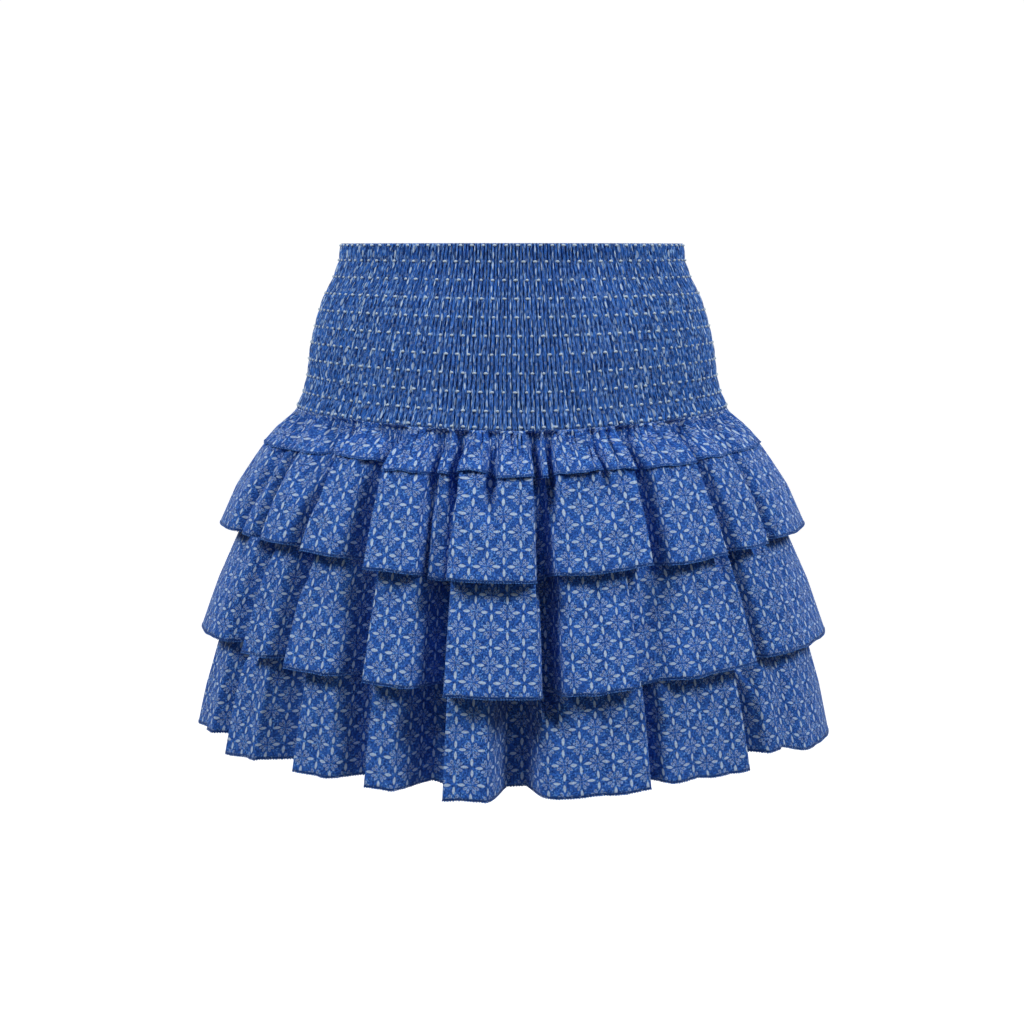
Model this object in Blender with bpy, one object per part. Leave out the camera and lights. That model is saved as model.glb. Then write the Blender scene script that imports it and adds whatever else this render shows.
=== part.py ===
"""Smocked and tiered mini skirt: a shirred yoke with four gathered flounces caught in its lower seam.

Metres, +Z up. The origin is the centre of the waist opening, level with the rim.
The front faces -Y and the wearer's left faces +X. An azimuth is 0 at the front centre, 90 at +X.
A drop is a height below the yoke seam, followed along the dip that the seam makes at the centre.
"""
import math
from collections import namedtuple

import bmesh
import bpy
import numpy as np

MM = 0.001

# Cloth walls and the gaps between cut pieces
CLOTH_WALL = 1.2 * MM
LAYER_GAP = 0.5 * MM
SEAM_GAP = 0.3 * MM
YOKE_WALL = 1.6 * MM

# Height of the yoke at the sides. Its seam dips towards the centre front, and less at the back
SEAM_DROP = 121 * MM
BACK_DIP_SHARE = 0.6

# Shirring of the yoke: puckers all round, bands between the rows of elastic thread
PUCKERS = 76
BANDS = 10
PUFF_RISE = 1.4 * MM
PUFF_SINK = 0.5 * MM
ROW_RIPPLE = 0.25 * MM

# Gathers start small at the seam and grow to their full depth at the hem
GATHER_AT_SEAM = 0.07
GATHER_GROWTH = 0.6
FOLD_PHASES = (0.0, 0.21, 0.33, 0.5, 0.67, 0.79)

# A trough is narrow at the seam and has its full width by the opening drop. Each wall takes a
# share of half the trough, and rounds off over a smaller share of it on the crest. The walls that
# face the centre are wider by the contrast and bend more softly, the others narrower and crisper
WALL_CONTRAST = 0.6
TROUGH_AT_SEAM = 0.55
TROUGH_OPENING = 30 * MM
WALL_SHARE = 0.58
CROWN_SHARE = 0.2
WIDEST_FACET = 5.5

# Lattice on which one layer is fitted inside the next
LATTICE_DEGREES = 0.25
LATTICE_DROP = 1 * MM
RELEASE_SLOPE = 0.9
TUCK_ROUNDS = 8
SIDE_CLEAR_DEGREES = 1.3

# Half sizes of a level section in plan: to the side, to the front and to the back
Section = namedtuple("Section", "drop half_width front back")

# One fold at the hem: its crest runs from left to right in degrees of azimuth, then the trough
# that follows it. Both depths are millimetres inwards from the section's outline, and lower is
# how many millimetres the crest's hem hangs below the flounce's own hem.
Fold = namedtuple("Fold", "left right crest trough lower")

# A flounce, the share of a fold's depth by which its hem rises there, and the shares of its
# length at which its rows of points lie
Flounce = namedtuple("Flounce", "name hem lift rows sections folds")

# Dip of the centre front at each drop below the seam
DIPS = ((0, 8.0), (27.5, 10.0), (89, 20.0), (170, 17.0), (246.5, 12.5))

# The yoke's sections are measured over the puffs, at drops below the rim
YOKE_SECTIONS = (
    Section(0.0, 127.8, 93.0, 93.0),
    Section(13.5, 129.4, 95.0, 95.5),
    Section(27.0, 134.4, 99.5, 101.0),
    Section(38.0, 140.4, 104.0, 106.5),
    Section(49.5, 144.4, 108.0, 111.5),
    Section(63.0, 148.2, 112.0, 117.0),
    Section(76.0, 151.0, 116.0, 121.5),
    Section(100.0, 154.0, 121.5, 127.5),
    Section(111.0, 157.2, 124.6, 130.5),
    Section(121.0, 161.8, 128.8, 134.5),
)

TOP_RUFFLE = Flounce(
    "top_ruffle", 27.5, -0.16, (0.0, 0.45, 1.0),
    (
        Section(0.0, 160.8, 127.9, 133.6),
        Section(15.5, 177.2, 139.0, 144.5),
        Section(27.5, 188.0, 148.0, 153.0),
    ),
    (
        Fold(-92, -73, 0, 10, -2.4), Fold(-67.8, -59, 1, 12, -3.4), Fold(-54, -52, 7, 10, -6.5),
        Fold(-50, -39.5, 0, 18, -5), Fold(-35.5, -24, 0, 17, 0.2), Fold(-20.8, -17.4, 5, 18, -1.2),
        Fold(-14.8, -7.4, -3, 10, -2.9), Fold(-4, 6, -3, 20, 0.5), Fold(8.4, 10.2, 6, 18, 1),
        Fold(12.5, 24.3, -4, 5, -1.2), Fold(26.3, 33.6, -2, 18, -1.1), Fold(37.8, 51.4, 0, 17, 0),
        Fold(55, 64.5, 1, 11, -1.2), Fold(69, 91, 0, 12, -1.5), Fold(97, 104, 3, 14, -1.5),
        Fold(109, 115, 0, 18, -1.5), Fold(121, 126, 5, 16, -1.5), Fold(131, 143, -2, 14, -1.5),
        Fold(148, 152, 4, 20, -1.5), Fold(158, 169, 0, 12, -1.5), Fold(174, 178, 3, 20, -1.5),
        Fold(184, 196, -2, 14, -1.5), Fold(201, 205, 4, 18, -1.5), Fold(211, 222, 0, 14, -1.5),
        Fold(227, 232, 4, 18, -1.5), Fold(238, 248, 0, 14, -1.5), Fold(254, 259, 4, 12, -1.5),
    ),
)

TIER_1 = Flounce(
    "tier_1", 89.0, -0.1, (0.0, 0.31, 0.66, 1.0),
    (
        Section(0.0, 160.6, 127.7, 133.4),
        Section(28.0, 187.5, 147.0, 152.0),
        Section(58.0, 207.0, 157.5, 163.0),
        Section(89.0, 221.0, 167.5, 173.5),
    ),
    (
        Fold(-93, -74, 0, 17, -3.4), Fold(-70, -66.3, 2, 22, -4.1),
        Fold(-63, -55.5, 1, 26, -5.5), Fold(-51, -42, 0, 27, -4.3),
        Fold(-35.3, -23, 0, 18, -1.5), Fold(-21.3, -17.3, 12, 15, 0.4),
        Fold(-15.4, 5.9, -3, 25, -0.7), Fold(10.7, 34, 1, 24, -3.5),
        Fold(38.8, 51.8, 0, 26, -1.7), Fold(56, 64, 1, 20, -1.5), Fold(68, 93, 0, 16, -2.4),
        Fold(99, 109, 2, 20, -2.5), Fold(114, 121, 5, 16, -2.5), Fold(126, 139, 0, 22, -2.5),
        Fold(144, 150, 6, 14, -2.5), Fold(155, 170, -2, 20, -2.5), Fold(175, 181, 5, 15, -2.5),
        Fold(186, 203, 0, 22, -2.5), Fold(208, 215, 6, 18, -2.5), Fold(220, 234, 2, 20, -2.5),
        Fold(239, 247, 6, 16, -2.5), Fold(252, 261, 2, 16, -2.5),
    ),
)

TIER_2 = Flounce(
    "tier_2", 170.0, 0.0, (0.0, 0.17, 0.52, 0.76, 1.0),
    (
        Section(0.0, 160.0, 127.4, 133.0),
        Section(28.0, 182.0, 143.0, 148.0),
        Section(89.0, 204.0, 157.0, 164.0),
        Section(129.0, 222.0, 167.0, 174.0),
        Section(170.0, 236.5, 176.5, 184.0),
    ),
    (
        Fold(-94, -70.5, 0, 23, -6.5), Fold(-64, -57, 2, 26, -4.2), Fold(-52, -41, 1, 28, -2.4),
        Fold(-33.8, -22.3, 1, 32, -2.5), Fold(-15.4, 6.9, -4, 30, -1.1),
        Fold(12.2, 28.7, -1, 13, -0.5), Fold(39.5, 56, 0, 30, -2.1), Fold(60, 92, 1, 20, -3),
        Fold(100, 112, 3, 22, -3), Fold(119, 128, 8, 18, -3), Fold(134, 150, 0, 24, -3),
        Fold(157, 164, 7, 18, -3), Fold(171, 189, -3, 24, -3), Fold(196, 203, 6, 16, -3),
        Fold(209, 224, 1, 24, -3), Fold(231, 240, 8, 20, -3), Fold(246, 257, 3, 22, -3),
    ),
)

TIER_3 = Flounce(
    "tier_3", 246.5, 0.06, (0.0, 0.115, 0.36, 0.69, 0.85, 1.0),
    (
        Section(0.0, 159.5, 127.0, 132.6),
        Section(28.0, 178.0, 140.0, 145.0),
        Section(89.0, 195.0, 151.0, 158.0),
        Section(170.0, 221.0, 165.5, 173.5),
        Section(208.0, 232.0, 172.0, 180.0),
        Section(246.5, 240.0, 178.0, 187.0),
    ),
    (
        Fold(-99, -82, 0, 3, -8.5), Fold(-79, -73, 0, 24, -12), Fold(-68, -59, 2, 28, -4.4),
        Fold(-49.9, -40.6, 3, 26, -3.6), Fold(-33.4, -26.2, 3, 36, -2.4),
        Fold(-15.6, -4.6, -1, 35, -0.6), Fold(7.2, 31.5, 2, 18, -1.6), Fold(35, 41, 3, 4, -3.8),
        Fold(49, 54.6, 3, 26, -1.4),
        Fold(58, 66, 0, 3, -10.5), Fold(69, 93, 0, 28, -2.5), Fold(103, 109, 6, 28, -5),
        Fold(116, 132, 4, 34, -5),
        Fold(142, 150, 9, 30, -5), Fold(160, 182, 0, 36, -5), Fold(191, 199, 8, 28, -5),
        Fold(208, 225, 4, 34, -5), Fold(233, 239, 9, 28, -5), Fold(246, 252, 8, 24, -5),
    ),
)

FLOUNCES = (TOP_RUFFLE, TIER_1, TIER_2, TIER_3)

LATTICE_AZIMUTHS = np.arange(-180.0, 180.0, LATTICE_DEGREES)
LATTICE_DROPS = np.arange(0.0, TIER_3.hem * MM + LATTICE_DROP, LATTICE_DROP)


def column(sections, name):
    """One named column of a table of sections, in metres."""
    return np.array([getattr(section, name) for section in sections]) * MM


def outline_radius(sections, drop, azimuth):
    """Radius of the sections' outline: half an ellipse in front and another behind."""
    drops = column(sections, "drop")
    width = np.interp(drop, drops, column(sections, "half_width"))
    front = np.interp(drop, drops, column(sections, "front"))
    back = np.interp(drop, drops, column(sections, "back"))
    turn = np.radians(azimuth)
    depth = np.where(np.cos(turn) > 0, front, back)
    return 1 / np.sqrt((np.sin(turn) / width) ** 2 + (np.cos(turn) / depth) ** 2)


def centre_share(azimuth):
    """1 at the centre front, 0 at the sides and less than 1 at the centre back."""
    facing = np.cos(np.radians(azimuth))
    return facing ** 2 * np.where(facing > 0, 1.0, BACK_DIP_SHARE)


def seam_height(azimuth):
    return -SEAM_DROP - DIPS[0][1] * MM * centre_share(azimuth)


def flounce_height(azimuth, drop):
    drops, dips = np.array(DIPS).T * MM
    return -SEAM_DROP - drop - np.interp(drop, drops, dips) * centre_share(azimuth)


def fold_keys(folds):
    """Azimuths of each crest's middle, right edge, trough and next left edge, and their phases."""
    azimuths = []
    for fold, following in zip(folds, folds[1:] + folds[:1]):
        next_left = following.left + (360 if following.left < fold.left else 0)
        azimuths += [(fold.left + fold.right) / 2, fold.right]
        azimuths += [(fold.right + next_left) / 2, next_left]
    azimuths.append(azimuths[0] + 360)
    return np.array(azimuths), np.arange(len(azimuths)) / 4


def ease(share):
    """A smooth climb from 0 to 1."""
    share = np.clip(share, 0, 1)
    return share * share * (3 - 2 * share)


def fold_place(folds, azimuth):
    """Which crest an azimuth follows, and its way from that crest's middle, 0, to the next, 1."""
    keys, phases = fold_keys(folds)
    phase = np.interp((azimuth - keys[0]) % 360 + keys[0], keys, phases)
    return np.floor(phase).astype(int) % len(folds), phase - np.floor(phase)


def over_crests(values, index, within):
    """Each crest's value, easing over to the next one's across the trough between them."""
    values = np.array(values) * MM
    return values[index] + (np.roll(values, -1)[index] - values[index]) * ease(2 * within - 0.5)


def faces_centre(azimuth, within):
    """1 on a fold's wall that faces the centre of its panel, -1 on one that faces the side."""
    lean = np.clip(2 * np.sin(2 * np.radians(azimuth)), -1, 1)
    return np.where(within < 0.5, -lean, lean)


def fold_inset(folds, azimuth, drop):
    """Depth of the folds inwards from the outline, with flat crests and flat, narrowing troughs."""
    index, within = fold_place(folds, azimuth)
    crest = over_crests([fold.crest for fold in folds], index, within)
    trough = np.array([fold.trough for fold in folds])[index] * MM
    width = TROUGH_AT_SEAM + (1 - TROUGH_AT_SEAM) * ease(drop / TROUGH_OPENING)
    inside = 1 - 4 * np.abs(within - 0.5) / width
    bend = 1 + WALL_CONTRAST * faces_centre(azimuth, within)
    return crest + (trough - crest) * ease((inside / bend + CROWN_SHARE) / (WALL_SHARE + CROWN_SHARE))


def hem_drops(flounce, azimuth):
    """Drop of the hem: a fold's depth lifts it, and each crest has its own length."""
    index, within = fold_place(flounce.folds, azimuth)
    hem = flounce.hem * MM
    lower = over_crests([fold.lower for fold in flounce.folds], index, within)
    return hem + lower - flounce.lift * fold_inset(flounce.folds, azimuth, hem)


def fold_columns(folds):
    """Azimuths of a flounce's columns: a few phases of each fold, the side seams and wide crests."""
    keys, phases = fold_keys(folds)
    wanted = [index + phase for index in range(len(folds)) for phase in FOLD_PHASES]
    azimuths = (np.interp(wanted, phases, keys) + 180) % 360 - 180
    from_seam = np.abs(np.abs(azimuths) - 90)
    azimuths = np.sort(np.append(azimuths[from_seam > SIDE_CLEAR_DEGREES], (-90.0, 90.0)))
    wide = np.flatnonzero(np.diff(azimuths) > WIDEST_FACET)
    return np.insert(azimuths, wide + 1, (azimuths[wide] + azimuths[wide + 1]) / 2)


def flounce_grid(flounce):
    """Columns, row drops and outer radii of a flounce as it would hang with nothing over it."""
    azimuths = fold_columns(flounce.folds)
    share = np.array(flounce.rows)[:, None]
    drops = share * hem_drops(flounce, azimuths)
    inset = fold_inset(flounce.folds, azimuths, drops)
    growth = GATHER_AT_SEAM + (1 - GATHER_AT_SEAM) * share ** GATHER_GROWTH
    radii = outline_radius(flounce.sections, drops, azimuths) - growth * inset
    return azimuths, drops, radii


def lattice_cells(azimuths, drops):
    """For each lattice point: the column before it and row above it, and how far past them it is."""
    before = np.searchsorted(azimuths, LATTICE_AZIMUTHS, side="right") - 1
    after = (before + 1) % len(azimuths)
    width = (azimuths[after] - azimuths[before]) % 360
    along = (LATTICE_AZIMUTHS - azimuths[before]) % 360 / width
    hems = drops[-1, before] * (1 - along) + drops[-1, after] * along
    shares = LATTICE_DROPS[:, None] / hems
    row_shares = drops[:, 0] / drops[-1, 0]
    above = np.clip(np.searchsorted(row_shares, shares, side="right") - 1, 0, len(drops) - 2)
    down = (shares - row_shares[above]) / (row_shares[above + 1] - row_shares[above])
    before, after, along = (np.broadcast_to(each, shares.shape) for each in (before, after, along))
    return before, after, along, above, np.clip(down, 0, 1), shares <= 1, hems


def lattice_radii(azimuths, drops, radii):
    """A faceted flounce's radii on the fitting lattice. Below its hem it releases what it holds."""
    before, after, along, above, down, _, hems = lattice_cells(azimuths, drops)
    upper_left, upper_right = radii[above, before], radii[above, after]
    lower_left, lower_right = radii[above + 1, before], radii[above + 1, after]
    left_face = upper_left + down * (lower_left - upper_left) + along * (lower_right - lower_left)
    right_face = upper_left + along * (upper_right - upper_left) + down * (lower_right - upper_right)
    field = np.where(down >= along, left_face, right_face)
    return field + RELEASE_SLOPE * np.maximum(0, LATTICE_DROPS[:, None] - hems)


def pared(field, depth):
    """The surface that stays a depth inside another, measured in every direction."""
    reach_down = int(depth / LATTICE_DROP)
    reach_round = int(math.degrees(depth / field.min()) / LATTICE_DEGREES) + 1
    rows = np.arange(len(field))
    result = field - depth
    for down in range(-reach_down, reach_down + 1):
        shifted = field[np.clip(rows + down, 0, len(field) - 1)]
        for turn in range(-reach_round, reach_round + 1):
            near = np.roll(shifted, -turn, axis=1)
            angle = math.radians(turn * LATTICE_DEGREES)
            spare = depth ** 2 - (down * LATTICE_DROP) ** 2 - (near * math.sin(angle)) ** 2
            limit = near * math.cos(angle) - np.sqrt(np.maximum(spare, 0))
            result = np.where(spare > 0, np.minimum(result, limit), result)
    return result


def at_points(field, azimuths, drops):
    """Values of a lattice field at a flounce's own points."""
    level = np.clip(drops / LATTICE_DROP, 0, len(field) - 1.001)
    low = level.astype(int)
    by_row = np.array([np.interp(azimuths, LATTICE_AZIMUTHS, row, period=360) for row in field])
    place = np.arange(len(azimuths))
    return by_row[low, place] * (1 - level + low) + by_row[low + 1, place] * (level - low)


def tucked(azimuths, drops, radii, ceiling):
    """Draw a flounce's points in until its faces stay under a ceiling all over."""
    radii = np.minimum(radii, at_points(ceiling, azimuths, drops))
    before, after, _, above, _, on_cloth, _ = lattice_cells(azimuths, drops)
    for _ in range(TUCK_ROUNDS):
        excess = lattice_radii(azimuths, drops, radii) - ceiling
        excess = np.where(on_cloth, np.maximum(excess, 0), 0)
        pull = np.zeros_like(radii)
        for row in (above, above + 1):
            for side_column in (before, after):
                np.maximum.at(pull, (row, side_column), excess)
        radii = radii - pull
    return radii


def nested_flounces():
    """Every flounce's points, outermost first, each fitted just inside the one over it."""
    ceiling = None
    fitted = []
    for flounce in FLOUNCES:
        azimuths, drops, radii = flounce_grid(flounce)
        if ceiling is not None:
            radii = tucked(azimuths, drops, radii, ceiling)
        field = lattice_radii(azimuths, drops, radii)
        inner = at_points(pared(field, CLOTH_WALL), azimuths, drops)
        fitted.append((flounce.name, azimuths, drops, radii, inner))
        under_wall = lattice_radii(azimuths, drops, inner) - LAYER_GAP
        own_ceiling = np.minimum(pared(field, CLOTH_WALL + LAYER_GAP), under_wall)
        ceiling = own_ceiling if ceiling is None else np.minimum(ceiling, own_ceiling)
    return fitted


def place_points(bm, azimuths, heights, radii, side):
    """Rows of points from one side seam to the other. The end columns stop short of the seam."""
    grid = []
    for height_row, radius_row in zip(heights, radii):
        row = []
        for place, azimuth in enumerate(azimuths):
            turn = math.radians(azimuth)
            x = radius_row[place] * math.sin(turn)
            y = -radius_row[place] * math.cos(turn)
            if place in (0, len(azimuths) - 1):
                y = side * SEAM_GAP / 2
            row.append(bm.verts.new((x, y, height_row[place])))
        grid.append(row)
    return grid


def fill_grid(bm, grid, inwards):
    """Triangles over rows of points, all with the same diagonal."""
    for upper, lower in zip(grid, grid[1:]):
        for place in range(len(upper) - 1):
            first = (upper[place], lower[place], lower[place + 1])
            second = (upper[place], lower[place + 1], upper[place + 1])
            for corners in (first, second):
                bm.faces.new(reversed(corners) if inwards else corners)


def close_edge(bm, outer, inner):
    """Triangles from one edge's many points to the fewer points of the other edge."""
    ratio = (len(outer) - 1) // (len(inner) - 1)
    pivot = (ratio + 1) // 2
    for place in range(len(inner) - 1):
        start = place * ratio
        for step in range(ratio):
            apex = inner[place + (step >= pivot)]
            bm.faces.new((outer[start + step], outer[start + step + 1], apex))
        bm.faces.new((outer[start + pivot], inner[place + 1], inner[place]))


def close_wall(bm, outer, inner):
    """Join the outer and inner faces of a wall round its four edges."""
    close_edge(bm, outer[0], inner[0])
    close_edge(bm, outer[-1], inner[-1])
    for end in (0, -1):
        close_edge(bm, [row[end] for row in outer], [row[end] for row in inner])


def add_object(bm, name, material):
    bmesh.ops.recalc_face_normals(bm, faces=bm.faces)
    mesh = bpy.data.meshes.new(name)
    bm.to_mesh(mesh)
    bm.free()
    mesh.shade_smooth()
    mesh.materials.append(material)
    piece = bpy.data.objects.new(name, mesh)
    bpy.context.collection.objects.link(piece)
    return piece


def half_of(azimuths, side):
    """Columns of the front or back half, in order, from one side seam to the other."""
    turned = azimuths if side < 0 else np.where(azimuths < 0, azimuths + 360, azimuths)
    middle = 0 if side < 0 else 180
    chosen = np.flatnonzero(np.abs(turned - middle) <= 90)
    return chosen[np.argsort(turned[chosen])]


def cloth(name, colour, roughness):
    material = bpy.data.materials.new(name)
    material.use_nodes = True
    shader = material.node_tree.nodes["Principled BSDF"]
    shader.inputs["Base Color"].default_value = (*colour, 1)
    shader.inputs["Roughness"].default_value = roughness
    shader.inputs["Metallic"].default_value = 0
    return material


def build_flounces(material):
    for name, azimuths, drops, outer_radii, inner_radii in nested_flounces():
        heights = flounce_height(azimuths, drops)
        for side, end in ((-1, "front"), (1, "back")):
            half = half_of(azimuths, side)
            bm = bmesh.new()
            outer = place_points(bm, azimuths[half], heights[:, half], outer_radii[:, half], side)
            inner = place_points(bm, azimuths[half], heights[:, half], inner_radii[:, half], side)
            fill_grid(bm, outer, inwards=False)
            fill_grid(bm, inner, inwards=True)
            close_wall(bm, outer, inner)
            add_object(bm, f"{name}_{end}", material)


def yoke_points(azimuths, bands_down):
    """Heights of the yoke, and the radii under its puffs, at some azimuths and bands."""
    share = np.array(bands_down)[:, None] / BANDS
    bottom = seam_height(azimuths) + SEAM_GAP
    heights = bottom * share
    radii = outline_radius(YOKE_SECTIONS, share * SEAM_DROP, azimuths[None, :]) - PUFF_RISE
    return heights, radii


def smocked_relief(columns, rows):
    """Rise of the cloth: puffs stand proud between the rows of thread, and are drawn in at them."""
    on_puff = np.arange(columns) % 2 == 1
    on_row = (np.arange(rows) % 2 == 0)[:, None]
    between = np.where(on_puff, PUFF_RISE, -PUFF_SINK)
    at_row = np.where(on_puff, ROW_RIPPLE, -ROW_RIPPLE)
    return np.where(on_row, at_row, between)


def build_yoke(material):
    """Front and back of the yoke: a smocked outer face over a plain inside."""
    for side, end in ((-1, "front"), (1, "back")):
        middle = 0 if side < 0 else 180
        azimuths = np.linspace(middle - 90, middle + 90, PUCKERS + 1)
        bm = bmesh.new()
        heights, radii = yoke_points(azimuths, np.arange(0, BANDS + 0.5, 0.5))
        radii = radii + smocked_relief(len(azimuths), len(radii))
        outer = place_points(bm, azimuths, heights, radii, side)
        heights, radii = yoke_points(azimuths[::2], np.arange(0, BANDS + 1, 2))
        inner = place_points(bm, azimuths[::2], heights, radii - YOKE_WALL, side)
        fill_grid(bm, outer, inwards=False)
        fill_grid(bm, inner, inwards=True)
        close_wall(bm, outer, inner)
        add_object(bm, f"yoke_{end}", material)


def main():
    for old in list(bpy.data.objects):
        bpy.data.objects.remove(old, do_unlink=True)
    build_yoke(cloth("smocked_cotton", (0.045, 0.11, 0.40), 0.85))
    build_flounces(cloth("printed_cotton", (0.05, 0.13, 0.45), 0.8))


main()
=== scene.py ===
"""Smocked and tiered mini skirt in printed blue cotton, as worn on a general figure.

Metres, +Z up. The origin is the centre of the waist opening, level with the rim.
The front faces -Y and the wearer's left faces +X. An azimuth is 0 at the front centre, 90 at +X.
A drop is a height below the yoke seam, followed along the dip that the seam makes at the centre.
"""
import math
from collections import namedtuple

import bmesh
import bpy
import numpy as np
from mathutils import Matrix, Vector


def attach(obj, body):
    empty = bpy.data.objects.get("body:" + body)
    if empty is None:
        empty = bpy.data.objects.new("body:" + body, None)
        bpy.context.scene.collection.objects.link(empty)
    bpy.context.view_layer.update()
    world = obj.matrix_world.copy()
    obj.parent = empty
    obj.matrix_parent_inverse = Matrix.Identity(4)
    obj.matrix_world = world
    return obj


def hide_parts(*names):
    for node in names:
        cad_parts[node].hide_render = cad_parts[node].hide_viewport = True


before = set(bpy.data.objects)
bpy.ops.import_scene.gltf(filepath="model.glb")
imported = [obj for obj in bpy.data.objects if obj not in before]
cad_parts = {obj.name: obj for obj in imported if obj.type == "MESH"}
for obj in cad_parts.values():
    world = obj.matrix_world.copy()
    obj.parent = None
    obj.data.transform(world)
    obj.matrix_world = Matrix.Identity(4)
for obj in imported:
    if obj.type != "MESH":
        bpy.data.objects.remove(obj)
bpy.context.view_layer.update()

MM = 0.001

# Camera and studio
LENS_MM = 75
SENSOR_MM = 36
PHOTO_PIXELS = 1024
HORIZON_PIXEL = 252
CAMERA_PLACE = (0, -1.6, -0.0062)
FLOOR_HEIGHT = -1.05
FLOOR_SIZE = 30
LAMP_SIZE = 0.9
LAMP_AIM = (0, 0, -0.2)
AIR_LIGHT = 0.09
AIR_LIGHT_SEEN = 0.93

# A lamp's name, its place in metres and its power in watts
Lamp = namedtuple("Lamp", "name place power")
LAMPS = (
    Lamp("left_light", (-1.88, -1.2, 1.6), 47), Lamp("right_light", (1.88, -1.2, 1.6), 48),
    Lamp("rear_left_light", (-1.28, 1.83, 1.35), 24), Lamp("rear_right_light", (1.28, 1.83, 1.35), 24),
)

# Cloth thickness and the air left between one layer and the next
CLOTH = 0.5 * MM
LAYER_AIR = 0.5 * MM

# Print: a square lattice of leaves with florets at every other crossing
PRINT_PITCH = 12 * MM

# Sizes in the print, as shares of the pitch: how far a leaf lies towards the bare crossing, and a
# petal's middle, half length and half width. The other values have no unit
LEVEL_LEAF_SHIFT = 0.06
UPRIGHT_LEAF_SHIFT = 0.17
LEAF_POINT = 2.4
LEAF_BLUR = 0.3
PETAL_TURN = math.radians(16)
PETAL_MIDDLE = 0.38
PETAL_LENGTH = 0.13
PETAL_WIDTH = 0.075
PETAL_FILLING = 0.2
STROKE_STRENGTH = 0.7

# A petal's outline lies at this share of its size and blurs over the range, and its filling fades out
# over another. A stroke's half width fades over its range, and its ends fade at two radii
OUTLINE_AT = 0.76
OUTLINE_BLUR = (0.12, 0.40)
FILLING_FADE = (0.6, 1.1)
STROKE_FADE = (0.004, 0.03)
STROKE_START = (0.06, 0.10)
STROKE_END = (0.22, 0.27)

# Waves to a metre in each noise, and the range of its values over which its mask climbs
WAVES = {"hand": 75, "coarse": 560, "fine": 1300, "slow": 60, "flecks": 850, "fleck patches": 190,
         "specks": 760, "fibres": 1500}
CLIMB = {"mottle": (0.38, 0.62), "flecks": (0.56, 0.68), "fleck patches": (0.40, 0.58),
         "specks": (0.58, 0.66)}
GRAIN_HEIGHT = 0.4 * MM
FIBRE_HEIGHT = 0.2 * MM

# Light flecks' strength, the share of a mark that its wear takes where the cloth is dark, and the
# cotton's roughness, less by the change where the cloth is light
FLECK_STRENGTH = 0.9
PRINT_WEAR = 0.38
COTTON_ROUGHNESS = 0.92
ROUGHNESS_CHANGE = 0.12

# A hem's strip blurs over this height, and a thread's colour darkens to this share between its fibres, as
# painted shade where they lie low
EDGE_BLUR = 0.4 * MM
THREAD_SHADE = 0.72

# Yoke: its seam dips towards the centre front, and less at the back
SEAM_DROP = 121 * MM
BACK_DIP_SHARE = 0.6
SEAM_GAP = 0.2 * MM
BANDS = 10
RIDGES = 118
RIDGE_STEPS = (0.0, 0.2, 0.5, 0.8)
BAND_STEPS = (0.0, 0.1, 0.28, 0.5, 0.72, 0.9)
ROW_SINK = 0.9 * MM
VALLEY_AT_ROW = 0.9 * MM
VALLEY_BETWEEN = 2.8 * MM
VALLEY_SHARPNESS = 2.4
PUFF_ROUNDNESS = 0.6

# Uneven ridges: how far a valley strays, as a share of a ridge, the least and most that a puff
# rises, and how much deeper a puff of no rise at all would lie
VALLEY_STRAY = 0.2
PUFF_RISES = (0.6, 1.1)
LOW_PUFF_SINK = 0.8 * MM

# Cloth taken up by one ridge across and by one band down, for the print
RIDGE_CLOTH = 7.1 * MM
BAND_CLOTH = 13.0 * MM

# Shirring thread: the shares of the yoke's height where the first and last rows run, the depth at
# which the thread lies under the puffs, and the points of one row
FIRST_ROW = 0.011
LAST_ROW = 0.985
THREAD_SINK = 0.45 * MM
ROW_POINTS = 720
SHIRRING = {"Pitch": 8.1 * MM, "Length": 3.4 * MM, "Width": 2.1 * MM, "Unevenness": 0.4, "Seed": 4}

# Overlocking: its stitches, and how far below the hem they hang
OVERLOCK = {"Pitch": 2.0 * MM, "Length": 2.1 * MM, "Width": 0.9 * MM, "Unevenness": 0.6, "Seed": 7}
OVERLOCK_DROP = 0.2 * MM

# Folds start at nothing at the seam and grow to their full depth at the hem
FOLD_GROWTH = 0.5

# Small gathers below the seam: how many all round, their depth and their length. The stitching
# holds them flat at the seam, and they are open by the drop given
Gathers = namedtuple("Gathers", "count depth length")
GATHERS = (Gathers(225, 8.5 * MM, 16 * MM), Gathers(64, 9.0 * MM, 22 * MM))
GATHERS_OPEN = 5 * MM

# Uneven gathers: the least and most of a gather's width, depth and length as shares of the even
# one's, how narrow its valley is, and how suddenly it ends
GATHER_WIDTHS = (0.5, 1.5)
GATHER_DEPTHS = (0.4, 1.0)
GATHER_LENGTHS = (0.45, 1.5)
GATHER_SHARPNESS = 3
GATHER_END = 1.6

# A trough is wider at the seam, by this many times, and has its own width by the opening drop, so a
# crest opens like a cone. Each wall takes a share of half the trough, and rounds off over a smaller
# share of it on the crest. The walls that face the centre are wider by the contrast and bend more
# softly, the others narrower and crisper
WALL_CONTRAST = 0.68
TROUGH_AT_SEAM = 1.45
TROUGH_OPENING = 24 * MM
WALL_SHARE = 0.52
CROWN_SHARE = 0.2

# A crease fades in and out over this share of its length
CREASE_FADE = 0.35

# How many more columns of points the steepest walls have than the crests, the slope inwards for each
# degree round that counts as steepest, and the steps round half a flounce that find it
CROWDING = 2.0
STEEPEST = 4 * MM
SLOPE_STEPS = 1800

# A hem's edge wavers a little, this many times round and this much up or down
WAVERS = 96
WAVER = 0.7 * MM

# Lattice on which one layer is fitted inside the next
LATTICE_DEGREES = 0.1
LATTICE_DROP = 0.5 * MM
RELEASE_SLOPE = 0.8
CONTACT_SOFTNESS = 1.0 * MM

# The print's stretch is evened out over this length along a row
STRETCH_SPREAD = 8 * MM

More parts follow.
